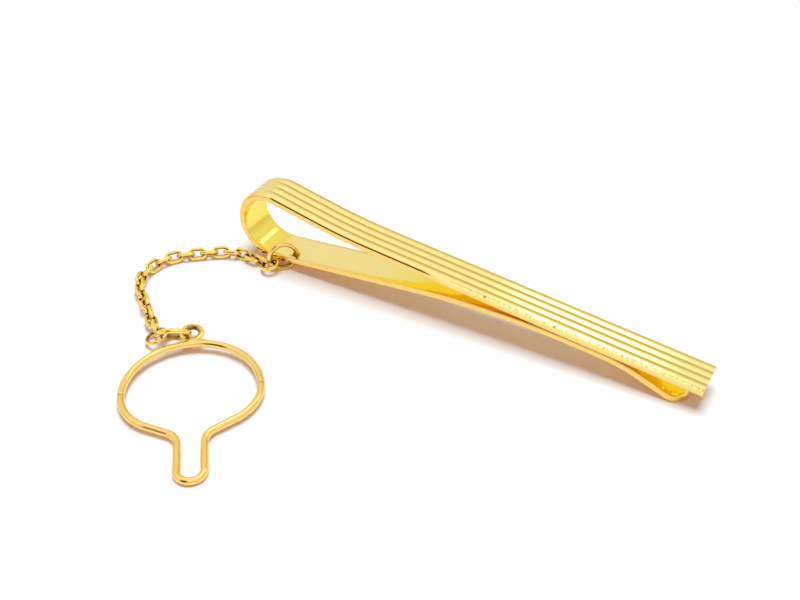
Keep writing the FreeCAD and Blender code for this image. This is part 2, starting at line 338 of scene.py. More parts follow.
@dataclass
class NodeBench:
    """A node tree and a short way to add to it.

    Args:
        tree: The tree of a material, a group or the world.
    """

    tree: bpy.types.NodeTree

    def feed(self, node: bpy.types.Node, inputs: dict[str | int, object]) -> None:
        """Links or sets inputs of a node.

        Args:
            node: The node.
            inputs: A socket to link or a value to set, by the input's name or number.
        """
        for name, value in inputs.items():
            if isinstance(value, NodeSocket):
                self.tree.links.new(value, node.inputs[name])
            else:
                node.inputs[name].default_value = value

    def add(self, kind: str, inputs: dict[str | int, object], out: str = "", **settings: object) -> NodeSocket:
        """Adds a node.

        Args:
            kind: Type of the node, without the word that all types start with.
            inputs: A socket to link or a value to set, by the input's name or number.
            out: Name of the output that is wanted, or none for the first.
            settings: The node's own settings.

        Returns:
            That output.
        """
        node = self.tree.nodes.new("ShaderNode" + kind)
        for name, value in settings.items():
            setattr(node, name, value)
        self.feed(node, inputs)
        return node.outputs[out or 0]

    def step(self, value: NodeSocket, low: float, high: float) -> NodeSocket:
        """Goes from 0 where a value is low to 1 where it is high, with level ends."""
        return self.add("MapRange", {"Value": value, "From Min": low, "From Max": high}, "Result",
                        interpolation_type="SMOOTHSTEP")

    def colours(self, share: NodeSocket, first: NodeSocket | tuple, second: NodeSocket | tuple) -> NodeSocket:
        """Goes from a colour to another by a share."""
        return self.add("Mix", {"Factor": share, "A": first, "B": second}, "Result", data_type="RGBA")


def opaque(colour: Colour) -> tuple[float, float, float, float]:
    """A colour as a socket takes it."""
    return (*colour, 1.0)


@dataclass
class EffectGroups:
    """Shader node groups that the finishes share, each built once.

    Args:
        lays: Direction of each set of hairlines in degrees, and how many times longer than wide they are.
        line_peaks: Span of the noise that makes a hairline.
        cloud_span: Span of the noise from clean to handled.
        patch_span: Span of the noise that breaks up a mark.
        patch_least: Share of a mark that is left where it is most broken.
        made: The groups by name.
    """

    lays: tuple[tuple[float, float], ...] = ((4.0, 30.0), (-31.0, 18.0), (67.0, 14.0))
    line_peaks: tuple[float, float] = (0.56, 0.74)
    cloud_span: tuple[float, float] = (0.35, 0.68)
    patch_span: tuple[float, float] = (0.25, 0.75)
    patch_least: float = 0.55
    made: dict[str, bpy.types.NodeTree] = field(default_factory=dict)

    def start(self, name: str, output: str, *marks: str) -> tuple[NodeBench, bpy.types.Node, bpy.types.Node]:
        """Makes an empty group with a place, a fineness and one value to put out.

        Args:
            name: Name of the group.
            output: Name of its output.
            marks: Names of further inputs.

        Returns:
            The group's bench, its input node and its output node.
        """
        tree = bpy.data.node_groups.new(name, "ShaderNodeTree")
        inputs = {"Vector": Socket.VECTOR, "Fineness": Socket.VALUE, **{mark: Socket.VALUE for mark in marks}}
        for socket, kind in inputs.items():
            tree.interface.new_socket(socket, in_out="INPUT", socket_type=kind.value)
        tree.interface.new_socket(output, in_out="OUTPUT", socket_type=Socket.VALUE.value)
        self.made[name] = tree
        return NodeBench(tree), tree.nodes.new("NodeGroupInput"), tree.nodes.new("NodeGroupOutput")

    def hairlines(self) -> bpy.types.NodeTree:
        """Fine polishing lines and scratches: noise drawn out long in three directions, kept where it peaks.

        Returns:
            The group, which puts out a height.
        """
        if "hairlines" in self.made:
            return self.made["hairlines"]
        bench, source, result = self.start("hairlines", "Height")
        total = None
        for turn, stretch in self.lays:
            drawn = bench.add("Mapping", {
                "Vector": source.outputs["Vector"], "Rotation": (0, 0, math.radians(turn)),
                "Scale": (1 / stretch, 1, 1)})
            noise = bench.add("TexNoise", {
                "Vector": drawn, "Scale": source.outputs["Fineness"], "Detail": 2.0}, "Fac")
            lines = bench.step(noise, *self.line_peaks)
            total = lines if total is None else bench.add("Math", {0: total, 1: lines}, operation="ADD")
        bench.feed(result, {"Height": total})
        return bench.tree

    def handling(self) -> bpy.types.NodeTree:
        """Cloudy marks of handling: slow noise spread from 0 to 1.

        Returns:
            The group, which puts out a mask.
        """
        if "handling" in self.made:
            return self.made["handling"]
        bench, source, result = self.start("handling", "Mask")
        noise = bench.add("TexNoise", {
            "Vector": source.outputs["Vector"], "Scale": source.outputs["Fineness"], "Detail": 4.0,
            "Roughness": 0.6}, "Fac")
        bench.feed(result, {"Mask": bench.step(noise, *self.cloud_span)})
        return bench.tree

    def broken(self) -> bpy.types.NodeTree:
        """A mark from the mesh broken up by noise: their product. It breaks up painted reflection, painted
        shade and dark seams.

        Returns:
            The group, which puts out a mask.
        """
        if "broken mark" in self.made:
            return self.made["broken mark"]
        bench, source, result = self.start("broken mark", "Mask", "Mark")
        noise = bench.add("TexNoise", {
            "Vector": source.outputs["Vector"], "Scale": source.outputs["Fineness"], "Detail": 3.0}, "Fac")
        spread = bench.add("MapRange", {
            "Value": noise, "From Min": self.patch_span[0], "From Max": self.patch_span[1],
            "To Min": self.patch_least, "To Max": 1.0}, "Result")
        mask = bench.add("Math", {0: spread, 1: source.outputs["Mark"]}, operation="MULTIPLY", use_clamp=True)
        bench.feed(result, {"Mask": mask})
        return bench.tree


@dataclass(frozen=True)
class GoldFinish:
    """Polished gold as one kind of piece shows it.

    Args:
        name: Name of the material.
        colour: Colour of the clean metal.
        deep: Colour by the mesh's mark: painted reflection and shade on edges and inner sides, and dark seams.
        mark: Name of the mesh attribute that holds that mark.
        roughness: Roughness of the polish.
        haze: Roughness that handling adds.
        lines: Depth of the hairlines in mm.
        painted_gold_reflection: Painted reflection of gold in gold, a colour by the mesh attribute of that
            name, or none.
        fineness: Hairlines in a metre, about.
        cloud: Width of a cloud of handling, in hairlines.
        patch: Width of a patch of the mark, in hairlines.
    """

    name: str
    colour: Colour
    deep: Colour
    mark: str
    roughness: float
    haze: float
    lines: float
    painted_gold_reflection: Colour | None = None
    fineness: float = 9000.0
    cloud: float = 25.0
    patch: float = 4.0

    def material(self, groups: EffectGroups) -> bpy.types.Material:
        """Builds the material.

        Args:
            groups: Effects that the finishes share.

        Returns:
            The material.
        """
        made = bpy.data.materials.new(self.name)
        made.use_nodes = True
        bench = NodeBench(made.node_tree)
        place = bench.add("TexCoord", {}, "Object")

        def effect(group: bpy.types.NodeTree, width: float, **marks: NodeSocket) -> NodeSocket:
            """Places a shared effect on the piece's own coordinates, its width counted in hairlines."""
            inputs = {"Vector": place, "Fineness": self.fineness / width, **marks}
            return bench.add("Group", inputs, node_tree=group)

        # Deep colour by the mesh's mark, broken up by noise: painted reflection and shade on edges and inner
        # sides, dark seams
        mark = bench.add("Attribute", {}, "Fac", attribute_name=self.mark)
        wear_and_painted_shade = effect(groups.broken(), self.patch, Mark=mark)
        colour = bench.colours(wear_and_painted_shade, opaque(self.colour), opaque(self.deep))
        # Painted reflection of gold in gold: a deeper yellow where gold faces gold
        if self.painted_gold_reflection:
            within = bench.add("Attribute", {}, "Fac", attribute_name="painted_gold_reflection")
            colour = bench.colours(within, colour, opaque(self.painted_gold_reflection))
        roughness = bench.add("MapRange", {
            "Value": effect(groups.handling(), self.cloud), "To Min": self.roughness,
            "To Max": self.roughness + self.haze}, "Result")
        scratched = bench.add("Bump", {
            "Height": effect(groups.hairlines(), 1.0), "Strength": 1.0, "Distance": self.lines * MM},
            "Normal", invert=True)
        bench.feed(bench.tree.nodes["Principled BSDF"], {
            "Metallic": 1.0, "Base Color": colour, "Roughness": roughness, "Normal": scratched})
        return made


# Face gold: painted reflection, deeper orange for the warm shade mirrored in edges and sides, deeper yellow for
# gold mirrored in gold
FACE_GOLD = GoldFinish("polished face gold", (0.94, 0.76, 0.29), (0.92, 0.60, 0.15), "edge",
                       roughness=0.08, haze=0.05, lines=0.001, painted_gold_reflection=(0.94, 0.74, 0.13))
WIRE_GOLD = GoldFinish("drawn wire gold", (0.95, 0.67, 0.22), (0.30, 0.16, 0.04), "seam",
                       roughness=0.11, haze=0.07, lines=0.0012)
# Chain gold: the deep colour is painted shade and dark reflection on the inner side of rings and links
LINK_GOLD = GoldFinish("chain gold", (1.0, 0.74, 0.2), (0.13, 0.065, 0.008), "inner",
                       roughness=0.06, haze=0.06, lines=0.0015)


@dataclass
class Dresser:
    """Gives finished pieces their material, slot and body.

    Args:
        groups: Effects that the finishes share.
        made: Materials by the name of their finish.
    """

    groups: EffectGroups = field(default_factory=EffectGroups)
    made: dict[str, bpy.types.Material] = field(default_factory=dict)

    def dress(self, piece: bpy.types.Object, finish: GoldFinish, body: str | None, *nodes: str) -> None:
        """Dresses a piece and puts it in the solids' stead.

        Args:
            piece: The new piece.
            finish: Its finish.
            body: The body that carries it, or none for a piece that stands for solids of two bodies.
            nodes: The solids that it stands for.
        """
        if finish.name not in self.made:
            self.made[finish.name] = finish.material(self.groups)
        piece.data.materials.append(self.made[finish.name])
        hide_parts(*nodes)
        if body:
            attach(piece, body)
        LOG.info("%s stands for %s with %d faces", piece.name, ", ".join(nodes), len(piece.data.polygons))


# The bent strip


@dataclass
class BentStrip:
    """The strip: reeded front bar, eye and plain leaf, with the sizes of the solids in mm and degrees."""

    # Section of the strip: a chamfer-like bevel beside the reeds, a small round at the inner face
    length: float = 57.2
    width: float = 4.6
    thickness: float = 0.8
    bevel: float = 0.18
    bevel_bulge: float = 1.1
    bevel_points: int = 6
    edge_break: float = 0.1
    break_bulge: float = 2.0
    break_points: int = 4
    inner_points: int = 5

    # Reeds, and the share of the leaf's part of the eye over which they fade out
    reeds: int = 4
    reed_points: int = 12
    crown: float = 0.13
    groove_round: float = 0.012
    reed_fade: float = 0.6
    reeded_from: float = 0.99

    # Eye and bar
    eye_top: float = 4.3
    eye_foot: float = 4.55
    eye_lift: float = 0.85
    shoulder_slope: float = 12.5
    shoulder_run: float = 5.8
    shoulder_radius: float = 69.0
    bar_slope: float = 6.2

    # Leaf, from the eye over the jaw to the curled end
    leaf_rise: float = 5.9
    crest_radius: float = 92.0
    crest_turn_step: float = 0.2
    jaw_clearance: float = 0.03
    jaw_run: float = 2.6
    flare_radius: float = 17.0
    flare_slope: float = 22.0
    end_turn_step: float = 0.5
    curl_radius: float = 2.7
    curl_rise: float = 28.0
    end_round: float = 1.7

    # Hole for the clip ring, and the row of the leaf's line that gives its cutter's height
    hole_from_eye: float = 7.35
    hole_from_edge: float = 0.98
    hole_radius: float = 0.549
    hole_bevel: float = 0.06
    hole_sides: int = 48
    hole_row: int = 60

    # The eye piece, which lies between the two bodies: how far it runs past the eye, and where its bend starts
    # and ends in thicknesses
    joint_run: float = 0.6
    bend_foot: float = 1.15
    bend_top: float = 1.5

    # Wear of the bar's edges, which sets in along X: nicks on both, and a near bevel that is rubbed flatter
    wear_start: float = -4.0
    wear_run: float = 8.0
    nick_depth: float = 0.07
    nick_step: float = 0.06
    nick_most: float = 1.5
    nick_blur: tuple[float, ...] = (0.2, 0.6, 1.0, 0.6, 0.2)
    rub_run: float = 4.0
    rub_in: float = 0.4
    rub_down: float = 0.5
    seed: int = 11

    # Painted reflection of gold in gold: rows past the start of the eye, and the leaf's inner face along X
    eye_gold_reflection: tuple[int, int] = (-4, 14)
    leaf_gold_reflection: tuple[float, float] = (-11.0, -3.0)

    def knuckle(self) -> Array:
        """Outermost point of the eye's middle line."""
        return np.array([-self.length / 2 + self.crown + self.thickness / 2, self.eye_lift + self.eye_foot])

    def bar_line(self) -> BentLine:
        """Middle line of the bar, from the eye's outermost point to the tip.

        Returns:
            The line.
        """
        half = self.thickness / 2
        line = BentLine(self.knuckle(), 90.0, step=self.nick_step)
        line.go(Move.BEND, self.eye_top - half, -90 - self.shoulder_slope)
        line.go(Move.RUN, self.joint_run)
        line.go(Move.RUN, self.shoulder_run - self.joint_run)
        line.turn_step = math.degrees(self.nick_step / self.shoulder_radius)
        line.go(Move.BEND, self.shoulder_radius, self.shoulder_slope - self.bar_slope)
        slope = math.radians(self.bar_slope)
        reach = self.length / 2 - math.sin(slope) * (half + self.crown) - line.end()[0]
        return line.go(Move.RUN, reach / math.cos(slope))

    def leaf_to_jaw(self, rise_run: float) -> BentLine:
        """Middle line of the leaf from the eye's outermost point up to the jaw.

        Args:
            rise_run: Length of the straight rise, in mm.

        Returns:
            The line.
        """
        line = BentLine(self.knuckle(), -90.0)
        line.go(Move.BEND, self.eye_foot - self.thickness / 2, 90 + self.leaf_rise)
        line.go(Move.RUN, self.joint_run)
        line.go(Move.RUN, rise_run)
        line.turn_step = self.crest_turn_step
        return line.go(Move.BEND, self.crest_radius, -self.leaf_rise - self.bar_slope)

    def leaf_line(self) -> BentLine:
        """Middle line of the whole leaf, whose rise is as long as it takes to bring the jaw to the bar.

        Returns:
            The line.
        """
        half = self.thickness / 2
        normal = unit(90 - self.bar_slope)
        jaw_height = self.bar_line().end() @ normal - self.thickness - self.jaw_clearance
        trial = self.joint_run
        lift = jaw_height - self.leaf_to_jaw(trial).end() @ normal
        line = self.leaf_to_jaw(trial + lift / math.sin(math.radians(self.leaf_rise + self.bar_slope)))
        line.go(Move.RUN, self.jaw_run)
        line.turn_step = self.end_turn_step
        line.go(Move.BEND, self.flare_radius, self.bar_slope - self.flare_slope)
        curl = self.curl_radius - half
        slope = math.radians(self.flare_slope)
        drop = line.end()[1] - half - curl * (1 - math.cos(slope))
        line.go(Move.RUN, drop / math.sin(slope))
        return line.go(Move.BEND, curl, self.flare_slope + self.curl_rise)

    def edge_arc(self, size: float, bulge: float, steps: int) -> tuple[Array, Array]:
        """Softened edge: a quarter of a superellipse, a chamfer at bulge 1 and a round at bulge 2.

        Args:
            size: How far the edge is cut back, in mm.
            bulge: Power of the superellipse.
            steps: Number of points.

        Returns:
            Distance in from the side and distance down from the face, from the face to the side.
        """
        turn = np.linspace(0, math.pi / 2, steps)
        return size * (1 - np.sin(turn) ** (2 / bulge)), size * (1 - np.cos(turn) ** (2 / bulge))

    def bevel_arc(self) -> tuple[Array, Array]:
        """The softened edge beside the reeds."""
        return self.edge_arc(self.bevel, self.bevel_bulge, self.bevel_points)

    def bevels(self) -> tuple[slice, slice]:
        """Columns of the outline that make the near and the far bevel."""
        far = self.bevel_points + 2 * self.break_points + self.inner_points
        return slice(0, self.bevel_points), slice(far, far + self.bevel_points)

    def outline(self, reed_share: Array, half_width: Array) -> tuple[Array, Array, Array, Array]:
        """Outline of the strip at each row: places across, depths outward, and its edges and inner face.

        The outer face is a row of reeds, each a half wave of a sine with a small round in the groove between
        two, and the other faces are flat with softened edges. Each point lies at a share of the half width
        plus an offset, so that the edges keep their size.

        Args:
            reed_share: Height of the reeds at each row, from 0 to 1.
            half_width: Half of the strip's width at each row, in mm.

        Returns:
            Grids of places and depths, rows by points of the outline, and two marks for each point of it.
        """
        deep = self.thickness / 2
        bevel_in, bevel_down = self.bevel_arc()
        break_in, break_down = self.edge_arc(self.edge_break, self.break_bulge, self.break_points)
        count = self.reeds * self.reed_points
        share = np.arange(1, count) / count
        wave = self.crown * np.sin(math.pi * self.reeds * share)
        swell = np.sqrt(wave ** 2 + self.groove_round ** 2) - self.groove_round
        face = 1 - 2 * share
        inner = np.linspace(-1, 1, self.inner_points + 2)[1:-1]
        bevel_mark = np.linspace(0, 1, self.bevel_points)
        break_mark = np.linspace(0, 1, self.break_points)

        # Share of the half width, offset, depth, height of the reeds and edge mark of each stretch
        stretches = (
            (-1, bevel_in, deep - bevel_down, 0, bevel_mark),
            (-1, break_in[::-1], -deep + break_down[::-1], 0, break_mark[::-1]),
            (inner, 0, -deep, 0, 0),
            (1, -break_in, -deep + break_down, 0, break_mark),
            (1, -bevel_in[::-1], deep - bevel_down[::-1], 0, bevel_mark[::-1]),
            (face, -self.bevel * face, deep, swell, 0),
        )
        columns = [np.stack(np.broadcast_arrays(*stretch)) for stretch in stretches]
        shares, offsets, depths, swells, edges = np.concatenate(columns, axis=1)
        across = half_width[:, None] * shares + offsets
        return across, depths + reed_share[:, None] * swells, edges, np.where(depths <= -deep, 1.0, 0.0)

    def nicks(self, along: Array) -> Array:
        """Wear of the bar's top edges at each row: seeded noise smoothed over a few rows, deeper to the tip.

        Args:
            along: Place of each row along X, in mm.

        Returns:
            Depth of the wear at the two edges, two columns.
        """
        draw = np.random.default_rng(self.seed).normal(size=(len(along), 2))
        blur = np.array(self.nick_blur) / sum(self.nick_blur)
        smooth = np.stack([np.convolve(edge, blur, "same") for edge in draw.T], axis=1)
        amount = smooth_step(self.wear_start, self.wear_start + self.wear_run, along)
        return self.nick_depth * amount[:, None] * np.clip(smooth, 0, self.nick_most)

    def surface(self, points: Array, headings: Array, reed_share: Array, half_width: Array,
                gold_reflection_share: Array) -> Surface:
        """The strip's skin: its outline set square to the middle line at each row, with its edges worn.

        Args:
            points: Middle line, X and Z in mm.
            headings: Direction of the line at each point, in degrees.
            reed_share: Height of the reeds at each row, from 0 to 1.
            half_width: Half of the width at each row, in mm.
            gold_reflection_share: How much painted reflection of gold the inner face takes at each row, from 0
                to 1.

        Returns:
            The surface.
        """
        across, depth, edges, within = self.outline(reed_share, half_width)
        near, far = self.bevels()
        reeded = reed_share > self.reeded_from
        wear_and_painted_shade = self.nicks(points[:, 0]) * reeded[:, None]
        hollow = np.sin(np.linspace(0, math.pi, self.bevel_points))
        bite = np.zeros(across.shape)
        bite[:, near] = wear_and_painted_shade[:, :1] * hollow
        bite[:, far] = wear_and_painted_shade[:, 1:] * hollow
        across -= np.sign(across) * bite
        depth -= bite
        rubbed = smooth_step(self.wear_start, self.wear_start + self.rub_run, points[:, :1]) * reeded[:, None]
        bevel_in, bevel_down = self.bevel_arc()
        across[:, near] += self.rub_in * rubbed * bevel_in
        depth[:, near] += self.rub_down * rubbed * bevel_down
        # Painted reflection: edges and sides take the deep colour for the warm shade they mirror, except on the
        # rubbed near bevel
        tint = np.broadcast_to(edges, across.shape).copy()
        tint[:, near] *= 1 - rubbed
        normal = unit(headings + 90)
        x = points[:, :1] + depth * normal[:, :1]
        z = points[:, 1:] + depth * normal[:, 1:]
        # The inner face takes painted reflection of gold where it faces gold
        marks = {"edge": tint, "painted_gold_reflection": gold_reflection_share[:, None] * within}
        return Surface(np.stack([x, across, z], axis=-1), marks=marks)

    def build(self) -> dict[str, bpy.types.Object]:
        """Makes the leaf, the eye and the bar from one line, from the leaf's end to the bar's tip.

        Returns:
            The three pieces by name.
        """
        leaf_points, leaf_headings = (part[::-1] for part in self.leaf_line().arrays())
        bar_points, bar_headings = self.bar_line().arrays()
        points = np.concatenate([leaf_points, bar_points[1:]])
        headings = np.concatenate([leaf_headings + 180, bar_headings[1:] + 360])
        knuckle = len(leaf_points) - 1

        leaf_eye = math.ceil((90 + self.leaf_rise) / BentLine.turn_step)
        leaf_eye += math.ceil(self.joint_run / BentLine.step)
        bar_eye = math.ceil((90 + self.shoulder_slope) / BentLine.turn_step)
        bar_eye += math.ceil(self.joint_run / self.nick_step)
        first, last = knuckle - leaf_eye, knuckle + bar_eye

        row = np.arange(len(points))
        reed_share = smooth_step(knuckle - leaf_eye * self.reed_fade, knuckle, row)
        from_end = points[0, 0] - points[:, 0]
        inset = np.clip(self.end_round - from_end, 0, self.end_round)
        narrow = self.end_round - np.sqrt(self.end_round ** 2 - inset ** 2)
        half_width = self.width / 2 - np.where(row < first, narrow, 0)
        # Painted reflection of gold in gold, in the eye and on the leaf's inner face under the bar
        in_eye = smooth_step(first + self.eye_gold_reflection[0], first + self.eye_gold_reflection[1], row)
        gold_reflection_share = np.maximum(in_eye, smooth_step(*self.leaf_gold_reflection, points[:, 0]))

        def cut(name: str, start: int, stop: int) -> bpy.types.Object:
            """The piece between two rows."""
            whole = (points, headings, reed_share, half_width, gold_reflection_share)
            return self.surface(*(values[start:stop + 1] for values in whole)).piece(name)

        cuts = {"leaf_strip": (0, first), "eye_strip": (first, last), "bar_strip": (last, len(points) - 1)}
        return {name: cut(name, *rows) for name, rows in cuts.items()}

    def bore(self, leaf: bpy.types.Object) -> None:
        """Cuts the ring's hole through the leaf with a revolved cutter that softens the hole's lips.

        Args:
            leaf: The leaf piece, whose mesh is cut.
        """
        x, y = -self.length / 2 + self.hole_from_eye, -self.width / 2 + self.hole_from_edge
        rise = self.leaf_line().arrays()[0][self.hole_row, 1]
        half, lip = self.thickness / 2, self.hole_bevel
        heights = np.array([-2 * half, -half - lip, -half + lip, half - lip, half + lip, 2 * half])
        radii = self.hole_radius + 2 * lip * np.array([1, 1, 0, 0, 1, 1])
        turn = full_turn(self.hole_sides)
        flat_x, flat_y = radii[:, None] * np.cos(turn), radii[:, None] * np.sin(turn)
        tall = np.broadcast_to(heights[:, None], flat_x.shape)
        slope = math.radians(self.leaf_rise)
        cosine, sine = math.cos(slope), math.sin(slope)
        grid = np.stack([x + flat_x * cosine - tall * sine, y + flat_y, rise + flat_x * sine + tall * cosine],
                        axis=-1)
        cutter = Surface(grid).piece("hole_cutter")
        modifier = leaf.modifiers.new("ring hole", "BOOLEAN")
        modifier.operation = "DIFFERENCE"
        modifier.solver = "EXACT"
        modifier.object = cutter
        scene = bpy.context.evaluated_depsgraph_get()
        cut_mesh = bpy.data.meshes.new_from_object(leaf.evaluated_get(scene))
        leaf.modifiers.clear()
        leaf.data = cut_mesh
        bpy.data.objects.remove(cutter)

    def dress(self, dresser: Dresser) -> None:
        """Builds the pieces, finishes them and sets them on their bodies.

        Args:
            dresser: What finishes the pieces.
        """
        pieces = self.build()
        self.bore(pieces["leaf_strip"])
        dresser.dress(pieces["leaf_strip"], FACE_GOLD, "leaf", "spring_leaf")
        dresser.dress(pieces["bar_strip"], FACE_GOLD, "bar", "front_bar")
        dresser.dress(pieces["eye_strip"], FACE_GOLD, None, "spring_leaf", "front_bar")
        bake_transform(pieces["eye_strip"])


# Rings, links and the button loop


def wire_outline(wire: float, power: float, count: int) -> tuple[Array, Array, Array]:
    """Outline of wire, a superellipse: round at power 2 and squarer above it.

    Args:
        wire: Width of the wire in mm.
        power: Power of the superellipse.
        count: Number of points.

    Returns:
        Distances outward and across, and the angle of each point.
    """
    turn = full_turn(count)
    reach = wire / 2 / (np.abs(np.cos(turn)) ** power + np.abs(np.sin(turn)) ** power) ** (1 / power)
    return reach * np.cos(turn), reach * np.sin(turn), turn


def closed_wire(node: str, outline: tuple[Array, Array, Array], bend: float, turn: Array, shift: Array,
                shade: float) -> Surface:
    """Wire carried round a circle whose middle shifts along, set where its solid is.

    Args:
        node: Name of the solid.
        outline: Distances outward and across, and angles, of the wire's outline.
        bend: Radius of the circle in mm.
        turn: Angle of each row round the circle, in radians.
        shift: How far along the circle's middle lies at each row, in mm.
        shade: How far the painted shade and dark reflection on the inner side reach outward, as a share of the
            wire's radius.

    Returns:
        The surface, with its inner side marked for painted shade and dark reflection.
    """
    out, across, angle = outline
    reach = bend + out
    points = node_place(node).put(
        shift[:, None] + np.cos(turn)[:, None] * reach, np.sin(turn)[:, None] * reach,
        np.broadcast_to(across, (len(turn), len(across))))
    # Painted shade and dark reflection on the inner side of the wire, by the angle round it
    return Surface(points, ring=True, marks={"inner": np.clip(shade - np.cos(angle), 0, 1)})


@dataclass
class WireRing:
    """A closed ring of round wire, set where its solid is.

    Args:
        node: Name of its solid.
        outer: Outer diameter in mm.
        wire: Wire in mm.
        swell: How much thicker the wire is on its outer side, in mm.
        shade: How far the painted shade and dark reflection on the inner side reach outward, as a share of the
            wire's radius.
        sides: Points round the wire.
        rows: Points round the ring.
    """

    node: str
    outer: float
    wire: float
    swell: float = 0.0
    shade: float = 0.4
    sides: int = 24
    rows: int = 96

    def build(self) -> bpy.types.Object:
        """A torus: the wire's round outline carried round a circle.

        Returns:
            The new piece.
        """
        outline = wire_outline(self.wire + self.swell, 2.0, self.sides)
        bend = (self.outer - self.wire + self.swell) / 2
        surface = closed_wire(self.node, outline, bend, full_turn(self.rows), np.zeros(self.rows), self.shade)
        return surface.piece(self.node + "_wire")

    def dress(self, dresser: Dresser) -> None:
        """Builds the ring and sets it on its body."""
        dresser.dress(self.build(), LINK_GOLD, frame["nodes"][self.node]["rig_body"], self.node)


# The ring at the loop's end of the chain is of finer wire than its solid, to clear the last link.
RINGS = (WireRing("clip_ring", 3.9, 0.6), WireRing("chain_ring_clip_end", 2.4, 0.4),
         WireRing("chain_ring_loop_end", 2.8, 0.39), WireRing("loop_ring", 3.9, 0.6))


@dataclass
class CableChain:
    """The chain's oval links, each of flattened wire.

    Args:
        count: Number of links.
        length: Outer length of a link in mm.
        width: Outer width of a link in mm.
        wire: Wire in mm.
        spread: How much further apart the two sides of a link lie than in its solid, in mm.
        squareness: Power of the wire's outline.
        shade: How far the painted shade and dark reflection on the inner side reach outward, as a share of the
            wire's radius.
        tightness: How much sooner than the turn the link goes over from one end to the other.
        sides: Points round the wire.
        rows: Points round a link.
    """

    count: int = 20
    length: float = 2.3
    width: float = 1.5
    wire: float = 0.42
    spread: float = 0.02
    squareness: float = 2.3
    shade: float = 0.2
    tightness: float = 8.0
    sides: int = 20
    rows: int = 64

    def link(self, node: str) -> bpy.types.Object:
        """A link: squarish wire carried round two half circles joined by straight sides.

        Args:
            node: Name of the link's solid.

        Returns:
            The new piece.
        """
        outline = wire_outline(self.wire, self.squareness, self.sides)
        bend = (self.width - self.wire + self.spread) / 2
        turn = full_turn(self.rows, -math.pi / 2)
        shift = (self.length - self.width) / 2 * np.clip(np.cos(turn) * self.tightness, -1, 1)
        return closed_wire(node, outline, bend, turn, shift, self.shade).piece(node + "_oval")

    def dress(self, dresser: Dresser) -> None:
        """Builds every link and sets it on its body.

        Args:
            dresser: What finishes the pieces.
        """
        for number in range(1, self.count + 1):
            node = "chain_link_%02d" % number
            dresser.dress(self.link(node), LINK_GOLD, frame["nodes"][node]["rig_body"], node)


